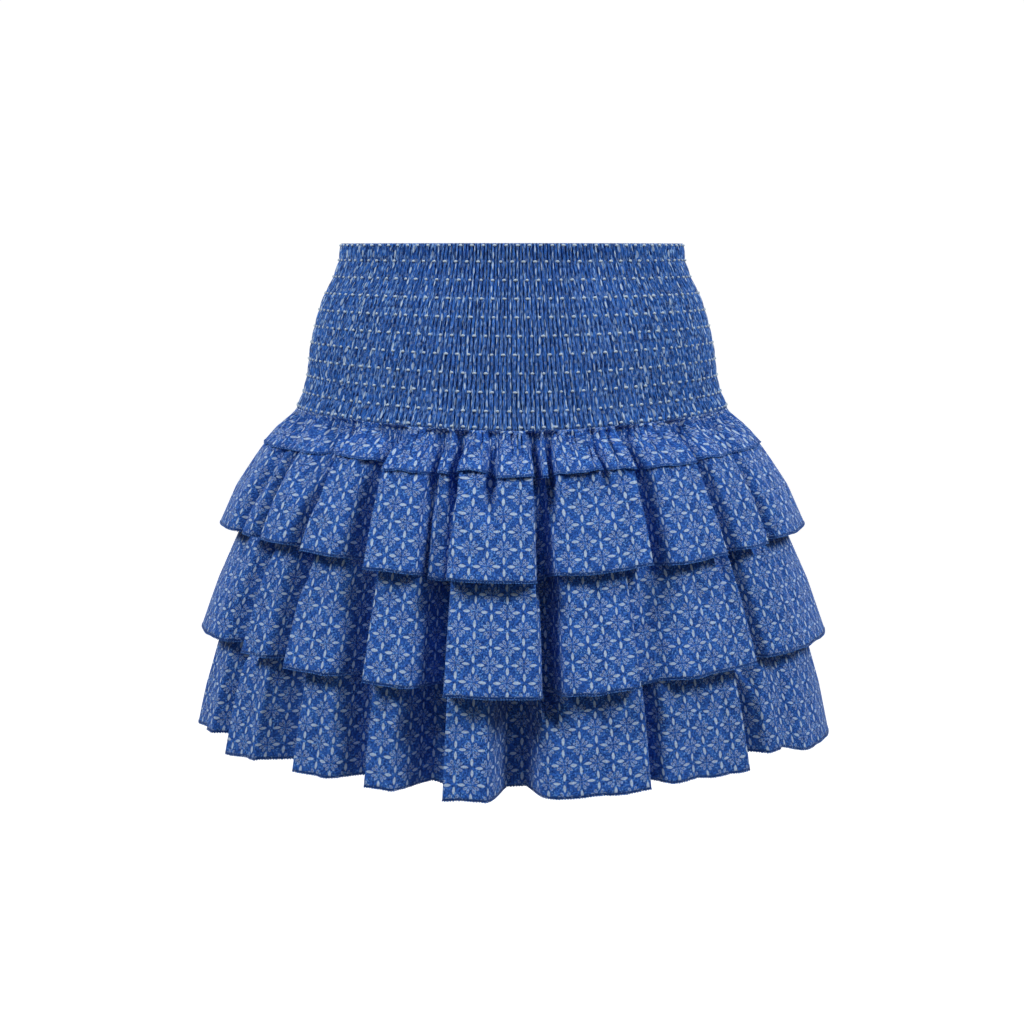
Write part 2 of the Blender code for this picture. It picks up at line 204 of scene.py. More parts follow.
# Half sizes of a level section in plan: to the side, to the front and to the back
Section = namedtuple("Section", "drop half_width front back")

# One fold at the hem: its crest runs from left to right in degrees of azimuth, then the trough
# that follows it. Both depths are millimetres inwards from the section's outline, and lower is
# how many millimetres the crest's hem hangs below the flounce's own hem.
Fold = namedtuple("Fold", "left right crest trough lower")

# A soft line in the cloth: its azimuths at the seam and the hem, the shares of the length where it
# starts and ends, its half width in degrees and its depth in millimetres, less than 0 for a ridge
Crease = namedtuple("Crease", "top hem start end width depth")

# A flounce: its name and hem, the share of a fold's depth by which its hem rises there, the drop down
# to which another covers it, its rows of points above and below that, its columns and its tables
Flounce = namedtuple(
    "Flounce", "name hem lift covered covered_rows rows columns sections folds creases")


def table_of(kind, *rows):
    """A table whose columns are those of one kind of row."""
    return tuple(kind(*row) for row in rows)


# Drops below the seam and the dip of the centre front there, in millimetres
DIPS = ((0, 8.0), (27.5, 10.0), (89, 20.0), (170, 17.0), (246.5, 12.5))

# The yoke's sections are measured over the puffs, at drops below the rim
YOKE_SECTIONS = (
    Section(0.0, 127.8, 93.0, 93.0),
    Section(13.5, 129.4, 95.0, 95.5),
    Section(27.0, 134.4, 99.5, 101.0),
    Section(38.0, 140.4, 104.0, 106.5),
    Section(49.5, 144.4, 108.0, 111.5),
    Section(63.0, 148.2, 112.0, 117.0),
    Section(76.0, 151.0, 116.0, 121.5),
    Section(100.0, 154.0, 121.5, 127.5),
    Section(111.0, 157.2, 124.6, 130.5),
    Section(121.0, 161.8, 128.8, 134.5),
)

TOP_RUFFLE = Flounce(
    "top_ruffle", 27.5, -0.16, 0.0, 0, 22, 1700,
    (
        Section(0.0, 160.8, 127.9, 133.6),
        Section(15.5, 177.2, 139.0, 144.5),
        Section(27.5, 188.0, 148.0, 153.0),
    ),
    table_of(
        Fold, (-92, -73, 0, 10, -2.4), (-67.8, -59, 1, 12, -3.4), (-54, -52, 7, 10, -6.5),
        (-50, -39.5, 0, 18, -5), (-35.5, -24, 0, 17, 0.2), (-20.8, -17.4, 5, 18, -1.2),
        (-14.8, -7.4, -3, 10, -2.9), (-4, 6, -3, 20, 0.5), (8.4, 10.2, 6, 18, 1),
        (12.5, 24.3, -4, 5, -1.2), (26.3, 33.6, -2, 18, -1.1), (37.8, 51.4, 0, 17, 0),
        (55, 64.5, 1, 11, -1.2), (69, 91, 0, 12, -1.5), (97, 104, 3, 14, -1.5), (109, 115, 0, 18, -1.5),
        (121, 126, 5, 16, -1.5), (131, 143, -2, 14, -1.5), (148, 152, 4, 20, -1.5),
        (158, 169, 0, 12, -1.5), (174, 178, 3, 20, -1.5), (184, 196, -2, 14, -1.5),
        (201, 205, 4, 18, -1.5), (211, 222, 0, 14, -1.5), (227, 232, 4, 18, -1.5),
        (238, 248, 0, 14, -1.5), (254, 259, 4, 12, -1.5),
    ),
    table_of(
        Crease, (-63, -62.5, 0, 0.7, 1.2, 2.2), (-45, -44, 0, 0.6, 1, 2), (-33, -31, 0, 0.75, 0.8, 2.4),
        (-12.5, -11, 0, 0.5, 0.8, 2), (-0.5, 0.5, 0, 0.45, 0.7, 2), (2.5, 4.5, 0, 0.85, 0.6, 2.2),
        (18.5, 19, 0, 0.5, 0.8, 2.2), (23, 22, 0.1, 0.95, 0.6, 1.4), (30.5, 31, 0, 0.4, 0.7, 2.4),
        (46, 47.5, 0, 0.5, 1, 2.4), (52, 50, 0, 0.65, 1, 2), (60, 60, 0, 0.6, 1.2, 2),
        (75, 74, 0, 0.7, 1.2, 2.4), (85, 83, 0, 0.5, 1, 2), (101, 100, 0, 0.7, 1, 2.2),
        (128, 129, 0, 0.5, 1, 2.2), (137, 136, 0, 0.8, 1, 2), (146, 147, 0, 0.45, 0.8, 2.2),
        (155, 156, 0, 0.6, 1, 2), (163, 162, 0, 0.8, 1, 2.4), (172, 173, 0, 0.5, 0.8, 2),
        (187, 188, 0, 0.7, 1, 2.2), (193, 192, 0, 0.5, 0.8, 2), (207, 208, 0, 0.7, 1, 2.2),
        (216, 215, 0, 0.5, 1, 2.4), (225, 225, 0, 0.8, 0.8, 1.8), (243, 242, 0, 0.6, 1, 2.2),
        (251, 252, 0, 0.5, 1, 2), (263, 264, 0, 0.7, 1.2, 2.2),
    ),
)

TIER_1 = Flounce(
    "tier_1", 89.0, -0.10, 22.0, 4, 27, 1100,
    (
        Section(0.0, 160.6, 127.7, 133.4),
        Section(28.0, 187.5, 147.0, 152.0),
        Section(58.0, 207.0, 157.5, 163.0),
        Section(89.0, 221.0, 167.5, 173.5),
    ),
    table_of(
        Fold, (-93, -74, 0, 17, -3.4), (-70, -66.3, 2, 22, -4.1), (-63, -55.5, 1, 26, -5.5),
        (-51, -42, 0, 27, -4.3), (-35.3, -23, 0, 18, -1.5), (-21.3, -17.3, 12, 15, 0.4),
        (-15.4, 5.9, -3, 25, -0.7), (10.7, 34, 1, 24, -3.5), (38.8, 51.8, 0, 26, -1.7),
        (56, 64, 1, 20, -1.5), (68, 93, 0, 16, -2.4), (99, 109, 2, 20, -2.5), (114, 121, 5, 16, -2.5),
        (126, 139, 0, 22, -2.5), (144, 150, 6, 14, -2.5), (155, 170, -2, 20, -2.5),
        (175, 181, 5, 15, -2.5), (186, 203, 0, 22, -2.5), (208, 215, 6, 18, -2.5),
        (220, 234, 2, 20, -2.5), (239, 247, 6, 16, -2.5), (252, 261, 2, 16, -2.5),
    ),
    table_of(
        Crease, (-82, -82, 0.2, 0.8, 2, 2), (-58, -59, 0.25, 0.9, 1.2, 1.6),
        (-46, -47, 0.2, 0.7, 1.4, 1.8), (-31, -33, 0.25, 0.9, 1, 1.4), (-27, -28, 0.2, 0.6, 1, 1.6),
        (-5, -8, 0.2, 0.66, 1.6, 3.4), (3.2, 3, 0.25, 0.7, 0.9, 1.4), (16, 15.5, 0.3, 0.8, 1, -0.9),
        (25.5, 24, 0.2, 0.75, 0.9, 2.2), (31, 30.7, 0.25, 1.1, 0.8, 1.4), (42.5, 42, 0.2, 0.7, 1.2, 1.6),
        (48, 47.6, 0.3, 1.1, 0.9, 1.6), (59, 59.5, 0.2, 0.8, 1, 1.6), (73, 73.5, 0.2, 0.85, 1.6, 2.2),
        (82, 81, 0.3, 1, 1.4, 1.6), (103, 104, 0.2, 0.9, 1.4, 1.8), (117, 117, 0.3, 1, 1, 1.4),
        (130, 131, 0.2, 0.8, 1.4, 2.2), (136, 135, 0.3, 1.1, 1, 1.6), (159, 158, 0.2, 0.7, 1.4, 2.2),
        (166, 167, 0.25, 1, 1, 1.6), (178, 178, 0.2, 0.8, 1.2, 1.4), (190, 189, 0.2, 0.75, 1.4, 2.2),
        (197, 198, 0.3, 1.1, 1, 1.8), (211, 211, 0.2, 0.8, 1, 1.4), (226, 227, 0.2, 0.9, 1.4, 2),
        (243, 243, 0.3, 1, 1.2, 1.6), (257, 256, 0.2, 0.8, 1.4, 1.8),
    ),
)

TIER_2 = Flounce(
    "tier_2", 170.0, 0.0, 78.0, 5, 29, 1100,
    (
        Section(0.0, 160.0, 127.4, 133.0),
        Section(28.0, 182.0, 143.0, 148.0),
        Section(89.0, 204.0, 157.0, 164.0),
        Section(129.0, 222.0, 167.0, 174.0),
        Section(170.0, 236.5, 176.5, 184.0),
    ),
    table_of(
        Fold, (-94, -70.5, 0, 23, -6.5), (-64, -57, 2, 26, -4.2), (-52, -41, 1, 28, -2.4),
        (-33.8, -22.3, 1, 32, -2.5), (-15.4, 6.9, -4, 30, -1.1), (12.2, 28.7, -1, 13, -0.5),
        (39.5, 56, 0, 30, -2.1), (60, 92, -1, 20, -3), (100, 112, 3, 22, -3), (119, 128, 8, 18, -3),
        (134, 150, 0, 24, -3), (157, 164, 7, 18, -3), (171, 189, -3, 24, -3), (196, 203, 6, 16, -3),
        (209, 224, 1, 24, -3), (231, 240, 8, 20, -3), (246, 257, 3, 22, -3),
    ),
    table_of(
        Crease, (-85, -86, 0.4, 0.9, 2, 2.2), (-76, -76, 0.45, 1, 1.4, 1.8),
        (-60, -60, 0.4, 0.9, 1.2, 1.4), (-46, -47, 0.4, 0.9, 1.2, 1.8), (-28, -28.5, 0.45, 0.85, 1, 1.4),
        (-9, -10, 0.4, 0.75, 1.2, 1.6), (-1.5, -2, 0.4, 0.85, 1.2, 1.8), (3.8, 3.5, 0.45, 1.1, 0.9, 1.2),
        (20.5, 19.5, 0.4, 0.85, 1.2, 1.8), (25, 25, 0.5, 1.1, 0.9, 1.2), (34, 34, 0.4, 0.9, 1.4, 1.6),
        (46, 45, 0.4, 0.9, 1.2, 1.8), (52, 51.5, 0.5, 1.1, 0.9, 1.4), (63.5, 64, 0.4, 0.75, 1, 2.6),
        (71, 71.5, 0.4, 0.95, 1.3, 2), (81, 80, 0.45, 1, 1.4, 1.6), (105, 106, 0.4, 0.9, 1.4, 2),
        (123, 123, 0.45, 1, 1.2, 1.5), (140, 139, 0.4, 0.85, 1.4, 2.2), (145, 146, 0.5, 1.1, 1, 1.6),
        (160, 160, 0.4, 0.9, 1, 1.4), (176, 175, 0.4, 0.8, 1.4, 2.2), (184, 185, 0.45, 1.1, 1.2, 1.8),
        (214, 213, 0.4, 0.9, 1.4, 2), (220, 220, 0.5, 1.1, 1, 1.4), (236, 236, 0.4, 0.9, 1.2, 1.6),
        (251, 252, 0.4, 0.95, 1.4, 2),
    ),
)

TIER_3 = Flounce(
    "tier_3", 246.5, 0.06, 158.0, 6, 28, 1100,
    (
        Section(0.0, 159.5, 127.0, 132.6),
        Section(28.0, 178.0, 140.0, 145.0),
        Section(89.0, 195.0, 151.0, 158.0),
        Section(170.0, 221.0, 165.5, 173.5),
        Section(208.0, 232.0, 172.0, 180.0),
        Section(246.5, 240.0, 178.0, 187.0),
    ),
    table_of(
        Fold, (-99, -84, 0, 3, -9), (-76.5, -73, 0, 24, -12), (-68, -67, 2, 3, -1.8),
        (-60.5, -59, 2, 28, -4.4), (-49.9, -40.6, 3, 26, -3.6), (-33.4, -26.2, 3, 36, -2.4),
        (-15.6, -4.6, -1, 35, -0.6), (7.2, 31.5, 2, 18, -1.6), (35, 41, 3, 4, -3.8),
        (49, 54.2, 3, 26, -1.4), (58, 62, 0, 3, -10.5), (70, 93, -1, 28, -2.8), (103, 109, 6, 28, -5),
        (116, 132, 4, 34, -5), (142, 150, 9, 30, -5), (160, 182, 0, 36, -5), (191, 199, 8, 28, -5),
        (208, 225, 4, 34, -5), (233, 239, 9, 28, -5), (246, 252, 8, 24, -5),
    ),
    table_of(
        Crease, (-88, -88, 0.55, 0.95, 2, 2.2), (-78, -79, 0.6, 1.1, 1.4, 1.8),
        (-63, -63, 0.6, 1, 1.2, 1.6), (-44, -44.5, 0.6, 1.1, 1.2, 1.6), (-29.5, -29.5, 0.6, 0.9, 1, 1),
        (-9, -8.5, 0.6, 0.9, 1.2, 1.2), (12.5, 12, 0.6, 0.9, 1.2, 1.4), (21.5, 20.8, 0.6, 1.1, 0.9, 2.2),
        (27, 27, 0.65, 1.1, 0.9, 1.2), (39, 39, 0.6, 0.85, 1.3, 1.4), (44.5, 44, 0.6, 1, 1, 1.6),
        (50.5, 49.5, 0.6, 1.1, 0.9, 2), (66, 66.5, 0.6, 0.95, 1.4, 2), (75, 74, 0.6, 1.1, 1.2, 1.6),
        (84, 84, 0.6, 0.9, 1.6, 1.8), (105.5, 106, 0.6, 1, 1.2, 1.4), (121, 120, 0.6, 0.95, 1.4, 2),
        (127, 128, 0.6, 1.1, 1, 1.6), (146, 146, 0.6, 1, 1.4, 1.6), (167, 166, 0.6, 0.9, 1.4, 2.2),
        (175, 176, 0.6, 1.1, 1.2, 1.8), (195, 195, 0.6, 1, 1.2, 1.4), (213, 212, 0.6, 0.9, 1.4, 2),
        (219, 220, 0.6, 1.1, 1, 1.6), (236, 236, 0.6, 1, 1.2, 1.4), (249, 249, 0.6, 1, 1, 1.4),
    ),
)

FLOUNCES = (TOP_RUFFLE, TIER_1, TIER_2, TIER_3)

LATTICE_AZIMUTHS = np.arange(-90.0, 270.0, LATTICE_DEGREES)
LATTICE_DROPS = np.arange(0.0, TIER_3.hem * MM + LATTICE_DROP, LATTICE_DROP)


def outline_radius(sections, drop, azimuth):
    """Radius of the sections' outline: half an ellipse in front and another behind."""
    table = np.array(sections) * MM
    width, front, back = (np.interp(drop, table[:, 0], table[:, place]) for place in (1, 2, 3))
    turn = np.radians(azimuth)
    depth = np.where(np.cos(turn) > 0, front, back)
    return 1 / np.sqrt((np.sin(turn) / width) ** 2 + (np.cos(turn) / depth) ** 2)


def centre_share(azimuth):
    """1 at the centre front, 0 at the sides and less than 1 at the centre back."""
    facing = np.cos(np.radians(azimuth))
    return facing ** 2 * np.where(facing > 0, 1.0, BACK_DIP_SHARE)


def seam_height(azimuth):
    return -SEAM_DROP - DIPS[0][1] * MM * centre_share(azimuth)


def flounce_height(azimuth, drop):
    drops, dips = np.array(DIPS).T * MM
    return -SEAM_DROP - drop - np.interp(drop, drops, dips) * centre_share(azimuth)


def ease(share):
    """A smooth climb from 0 to 1."""
    share = np.clip(share, 0, 1)
    return share * share * (3 - 2 * share)


def apart(azimuth, other):
    """Degrees from one azimuth to another, the short way round."""
    return (azimuth - other + 180) % 360 - 180


def fold_keys(folds):
    """Azimuths of each crest's middle, right edge, trough and next left edge, and their phases."""
    azimuths = []
    for fold, following in zip(folds, folds[1:] + folds[:1]):
        next_left = following.left + (360 if following.left < fold.left else 0)
        azimuths += [(fold.left + fold.right) / 2, fold.right]
        azimuths += [(fold.right + next_left) / 2, next_left]
    azimuths.append(azimuths[0] + 360)
    return np.array(azimuths), np.arange(len(azimuths)) / 4


def fold_place(folds, azimuth):
    """Which crest an azimuth follows, and its way from that crest's middle, 0, to the next, 1."""
    keys, phases = fold_keys(folds)
    phase = np.interp((azimuth - keys[0]) % 360 + keys[0], keys, phases)
    return np.floor(phase).astype(int) % len(folds), phase - np.floor(phase)


def over_crests(values, index, within):
    """Each crest's value, easing over to the next one's across the trough between them."""
    values = np.array(values) * MM
    return values[index] + (np.roll(values, -1)[index] - values[index]) * ease(2 * within - 0.5)


def faces_centre(azimuth, within):
    """1 on a fold's wall that faces the centre of its panel, -1 on one that faces the side."""
    lean = np.clip(2 * np.sin(2 * np.radians(azimuth)), -1, 1)
    return np.where(within < 0.5, -lean, lean)


def fold_inset(folds, azimuth, drop):
    """Depth of the folds inwards from the outline, with flat crests and flat, narrowing troughs."""
    index, within = fold_place(folds, azimuth)
    crest = over_crests([fold.crest for fold in folds], index, within)
    trough = np.array([fold.trough for fold in folds])[index] * MM
    width = TROUGH_AT_SEAM + (1 - TROUGH_AT_SEAM) * ease(drop / TROUGH_OPENING)
    inside = 1 - 4 * np.abs(within - 0.5) / width
    bend = 1 + WALL_CONTRAST * faces_centre(azimuth, within)
    return crest + (trough - crest) * ease((inside / bend + CROWN_SHARE) / (WALL_SHARE + CROWN_SHARE))


def hem_drops(flounce, azimuth):
    """Drop of the hem: a fold's depth lifts it, and each crest has its own length."""
    index, within = fold_place(flounce.folds, azimuth)
    hem = flounce.hem * MM
    lower = over_crests([fold.lower for fold in flounce.folds], index, within)
    wavers = np.random.default_rng(int(flounce.hem)).uniform(-WAVER, WAVER, WAVERS)
    place = azimuth % 360 * WAVERS / 360
    step = place.astype(int) % WAVERS
    waver = wavers[step] + (np.roll(wavers, -1)[step] - wavers[step]) * ease(place % 1)
    return hem + lower + waver - flounce.lift * fold_inset(flounce.folds, azimuth, hem)


def pleats(azimuth, count, seed):
    """Narrow pleats of uneven width: 1 in each valley, 0 on each ridge, and which pleat it is."""
    rng = np.random.default_rng(seed)
    edges = np.append(0, np.cumsum(rng.uniform(*GATHER_WIDTHS, count)))
    edges *= 360 / edges[-1]
    place = np.interp(azimuth % 360, edges, np.arange(count + 1))
    index = np.minimum(place.astype(int), count - 1)
    across = np.abs(2 * (place - index) - 1)
    return across ** GATHER_SHARPNESS, index, rng


def seam_gathers(azimuth, drops, gathers, seed):
    """Fine gathers that fade out at uneven lengths below the seam."""
    valley, index, rng = pleats(azimuth, gathers.count, seed)
    depths = gathers.depth * rng.uniform(*GATHER_DEPTHS, gathers.count)[index]
    lengths = gathers.length * rng.uniform(*GATHER_LENGTHS, gathers.count)[index]
    return valley * depths * ease(drops / GATHERS_OPEN) * np.exp(-(drops / lengths) ** GATHER_END)


def crease_depth(creases, azimuth, share):
    total = np.zeros(np.broadcast(azimuth, share).shape)
    for crease in creases:
        middle = crease.top + (crease.hem - crease.top) * share
        across = np.exp(-(apart(azimuth, middle) / crease.width) ** 2)
        length = crease.end - crease.start
        fade = CREASE_FADE * length
        along = ease((share - crease.start) / fade) * ease((crease.end - share) / fade)
        total = total + crease.depth * MM * across * along
    return total


def crowded_columns(flounce):
    """Azimuths of a flounce's columns from one side seam round, closer where its folds are steep."""
    columns = []
    for start in (-90, 90):
        fine = np.linspace(start, start + 180, SLOPE_STEPS + 1)
        slope = np.abs(np.gradient(fold_inset(flounce.folds, fine, flounce.hem * MM), fine))
        weight = 1 + CROWDING * np.minimum(slope / STEEPEST, 1)
        total = np.append(0, np.cumsum((weight[1:] + weight[:-1]) / 2))
        wanted = np.linspace(0, total[-1], flounce.columns // 2, endpoint=False)
        columns.append(np.interp(wanted, total, fine))
    return np.concatenate(columns)


def flounce_grid(flounce, azimuths):
    """Shares, drops and outer radii of a flounce as it would hang with nothing over it."""
    covered = np.linspace(0, flounce.covered / flounce.hem, flounce.covered_rows + 1)[:-1]
    shares = np.append(covered, np.linspace(flounce.covered / flounce.hem, 1, flounce.rows + 1))
    share = shares[:, None]
    drops = share * hem_drops(flounce, azimuths)
    inset = fold_inset(flounce.folds, azimuths, drops)
    radii = outline_radius(flounce.sections, drops, azimuths) - share ** FOLD_GROWTH * inset
    radii -= crease_depth(flounce.creases, azimuths, share)
    return shares, drops, radii


def to_lattice(azimuths, shares, hems, radii):
    """A flounce's radii on the fitting lattice. Below its hem it releases what it holds."""
    hems = np.interp(LATTICE_AZIMUTHS, azimuths, hems, period=360)
    rows = np.array([np.interp(LATTICE_AZIMUTHS, azimuths, row, period=360) for row in radii])
    places = np.clip(LATTICE_DROPS[:, None] / hems, 0, 1)
    above = np.clip(np.searchsorted(shares, places, side="right") - 1, 0, len(shares) - 2)
    down = (places - shares[above]) / (shares[above + 1] - shares[above])
    column = np.arange(len(LATTICE_AZIMUTHS))
    field = rows[above, column] * (1 - down) + rows[above + 1, column] * down
    return field + RELEASE_SLOPE * np.maximum(0, LATTICE_DROPS[:, None] - hems)


def pared(field, depth):
    """The surface that stays a depth inside another, measured in every direction."""
    reach_down = int(depth / LATTICE_DROP)
    reach_round = int(math.degrees(depth / field.min()) / LATTICE_DEGREES) + 1
    rows = np.arange(len(field))
    result = field - depth
    for down in range(-reach_down, reach_down + 1):
        shifted = field[np.clip(rows + down, 0, len(field) - 1)]
        for turn in range(-reach_round, reach_round + 1):
            near = np.roll(shifted, -turn, axis=1)
            angle = math.radians(turn * LATTICE_DEGREES)
            spare = depth ** 2 - (down * LATTICE_DROP) ** 2 - (near * math.sin(angle)) ** 2
            limit = near * math.cos(angle) - np.sqrt(np.maximum(spare, 0))
            result = np.where(spare > 0, np.minimum(result, limit), result)
    return result


def from_lattice(field, azimuths, drops):
    """Values of a lattice field at a flounce's own points."""
    across = ((azimuths - LATTICE_AZIMUTHS[0]) % 360) / LATTICE_DEGREES
    left = across.astype(int) % len(LATTICE_AZIMUTHS)
    right = (left + 1) % len(LATTICE_AZIMUTHS)
    along = across - np.floor(across)
    level = np.clip(drops / LATTICE_DROP, 0, len(field) - 1.001)
    low = level.astype(int)
    down = level - low
    upper = field[low, left] * (1 - along) + field[low, right] * along
    lower = field[low + 1, left] * (1 - along) + field[low + 1, right] * along
    return upper * (1 - down) + lower * down


def soft_min(first, second, softness):
    """The lower of two values, rounded where they cross."""
    gap = (first - second) / softness
    return second + softness * (np.minimum(gap, 0) - np.log1p(np.exp(-np.abs(gap))))


def plan_points(azimuths, radii, heights):
    turn = np.radians(np.broadcast_to(azimuths, radii.shape))
    return np.stack([radii * np.sin(turn), -radii * np.cos(turn), heights], axis=-1)


def cloth_piece(name, places, left_print, right_print, thickness, materials, closed):
    """A thin shell over a grid of points. The print's places are given at each cell's two sides."""
    rows, columns = places.shape[:2]
    cells = columns if closed else columns - 1
    upper, left = np.meshgrid(np.arange(rows - 1), np.arange(cells), indexing="ij")
    right = (left + 1) % columns
    corners = np.stack([
        upper * columns + left, (upper + 1) * columns + left,
        (upper + 1) * columns + right, upper * columns + right,
    ], axis=-1).reshape(-1, 4)
    mesh = bpy.data.meshes.new(name)
    mesh.from_pydata(places.reshape(-1, 3), [], corners.tolist())
    prints = np.stack([
        left_print[:-1, :cells], left_print[1:, :cells],
        right_print[1:, :cells], right_print[:-1, :cells],
    ], axis=2).reshape(-1, 2)
    layer = mesh.uv_layers.new(name="cloth")
    layer.uv.foreach_set("vector", prints.astype(np.float32).ravel())
    for material in materials:
        mesh.materials.append(material)
    mesh.shade_smooth()
    piece = bpy.data.objects.new(name, mesh)
    bpy.context.collection.objects.link(piece)
    wall = piece.modifiers.new("wall", "SOLIDIFY")
    wall.thickness = thickness
    wall.offset = -1
    wall.use_even_offset = False
    wall.material_offset = 1
    wall.material_offset_rim = 0
    return made_plain(piece)


def made_plain(piece):
    """Replace a piece's mesh with what its modifiers make of it."""
    evaluated = piece.evaluated_get(bpy.context.evaluated_depsgraph_get())
    mesh = bpy.data.meshes.new_from_object(evaluated)
    mesh.name = piece.name
    piece.modifiers.clear()
    old = piece.data
    piece.data = mesh
    bpy.data.meshes.remove(old)
    return piece


def row_lengths(row):
    """Length along a closed row of points, from its first point round to it again."""
    steps = np.linalg.norm(np.roll(row, -1, axis=0) - row, axis=-1)
    return np.append(0, np.cumsum(steps))


def evened(row, along):
    """The hem's lengths carried up to a row, with their stretch spread out softly along it."""
    lengths = row_lengths(row)
    level = along[-1] * lengths / lengths[-1]
    count = int(lengths[-1] / MM)
    places = np.linspace(0, lengths[-1], count + 1)
    slack = np.fft.rfft(np.interp(places[:-1], lengths, along - level))
    spread = 2 * math.pi * np.fft.rfftfreq(count) * STRETCH_SPREAD / MM
    slack = np.fft.irfft(slack * np.exp(-spread ** 2 / 2), count)
    return level + np.interp(lengths, places, np.append(slack, slack[0]))


def flounce_print(places, smooth):
    """Places of the print on each cell's two sides, and the hem's length. Both panels are printed
    outwards from their centres, and up from the hem along the cloth without its folds."""
    columns = places.shape[1]
    along = row_lengths(places[-1])
    across = np.array([evened(row, along) for row in places])
    centre = np.where(np.arange(columns) < columns // 2, along[columns // 4], along[3 * columns // 4])
    down = np.linalg.norm(np.diff(smooth, axis=0), axis=-1)
    level = np.vstack([np.cumsum(down[::-1], axis=0)[::-1], np.zeros((1, columns))])
    left = np.stack([across[:, :-1] - centre, level], axis=-1)
    right = np.stack([across[:, 1:] - centre, np.roll(level, -1, axis=1)], axis=-1)
    return left, right, along[-1]


def build_flounces(materials):
    """Every flounce, outermost first, each fitted just inside the ones over it."""
    ceiling = None
    hems = {}
    for flounce in FLOUNCES:
        azimuths = crowded_columns(flounce)
        shares, drops, radii = flounce_grid(flounce, azimuths)
        for seed, gathers in enumerate(GATHERS, 3 * len(hems)):
            radii -= seam_gathers(azimuths, drops, gathers, seed)
        if ceiling is not None:
            limit = from_lattice(ceiling, azimuths, drops)
            radii = soft_min(radii, limit, CONTACT_SOFTNESS)
        field = to_lattice(azimuths, shares, drops[-1], radii)
        own_ceiling = pared(field, CLOTH + LAYER_AIR)
        ceiling = own_ceiling if ceiling is None else np.minimum(ceiling, own_ceiling)

        heights = flounce_height(azimuths, drops)
        places = plan_points(azimuths, radii, heights)
        smooth = plan_points(azimuths, outline_radius(flounce.sections, drops, azimuths), heights)
        left, right, hem_length = flounce_print(places, smooth)
        piece = cloth_piece(f"{flounce.name}_cloth", places, left, right, CLOTH, materials, True)
        hems[flounce.name] = places[-1]
        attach(piece, "root")
        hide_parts(f"{flounce.name}_front", f"{flounce.name}_back")
    return hems


def yoke_rows():
    """Places of the rows of points down the yoke, in bands."""
    steps = [band + step for band in range(BANDS) for step in BAND_STEPS]
    return np.array(steps + [BANDS])


def build_yoke(materials):
    """Front and back of the yoke: thin puckered cloth drawn in at each row of thread."""
    rows = yoke_rows()
    share = (rows / BANDS)[:, None]
    for side, end in ((-1, "front"), (1, "back")):
        rng = np.random.default_rng(11 + side)
        middle = 0 if side < 0 else 180
        valleys = np.arange(RIDGES + 1) + rng.uniform(-VALLEY_STRAY, VALLEY_STRAY, (BANDS + 1, RIDGES + 1))
        valleys[:, 0] = 0
        valleys[:, -1] = RIDGES
        rises = rng.uniform(*PUFF_RISES, (BANDS, RIDGES + 1))

        columns = np.append(np.add.outer(np.arange(RIDGES), RIDGE_STEPS).ravel(), RIDGES)
        ridge = np.minimum(columns.astype(int), RIDGES - 1)
        across = columns - ridge
        band = np.minimum(rows.astype(int), BANDS - 1)
        down = (rows - band)[:, None]
        left_edge = valleys[band][:, ridge] * (1 - down) + valleys[band + 1][:, ridge] * down
        right_edge = valleys[band][:, ridge + 1] * (1 - down) + valleys[band + 1][:, ridge + 1] * down
        azimuths = middle - 90 + (left_edge + (right_edge - left_edge) * across) * 180 / RIDGES

        puff = np.sin(np.pi * down) ** PUFF_ROUNDNESS
        valley = np.abs(2 * across - 1) ** VALLEY_SHARPNESS
        rise = rises[band][:, ridge]
        depth = ROW_SINK * (1 - puff) + valley * (VALLEY_AT_ROW + VALLEY_BETWEEN * puff * rise)
        depth = depth + (1 - rise) * LOW_PUFF_SINK * puff
        bottom = seam_height(azimuths) + SEAM_GAP
        heights = bottom * share
        radii = outline_radius(YOKE_SECTIONS, share * SEAM_DROP, azimuths) - depth
        places = plan_points(azimuths, radii, heights)
        level = np.broadcast_to((BANDS - rows)[:, None] * BAND_CLOTH, radii.shape)
        wide = np.broadcast_to((columns - RIDGES / 2) * RIDGE_CLOTH, radii.shape)
        left = np.stack([wide, level], axis=-1)
        right = np.roll(left, -1, axis=1)
        piece = cloth_piece(f"yoke_{end}_cloth", places, left, right, CLOTH, materials, False)
        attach(piece, "root")
        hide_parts(f"yoke_{end}")


def socket_called(sockets, identifier):
    """A node's socket by its identifier, because several may have one name."""
    return next(socket for socket in sockets if socket.identifier == identifier)


def feed(tree, socket, value):
    """Give a socket a link or a plain value."""
    if isinstance(value, (int, float, tuple)):
        socket.default_value = value
    else:
        tree.links.new(value, socket)


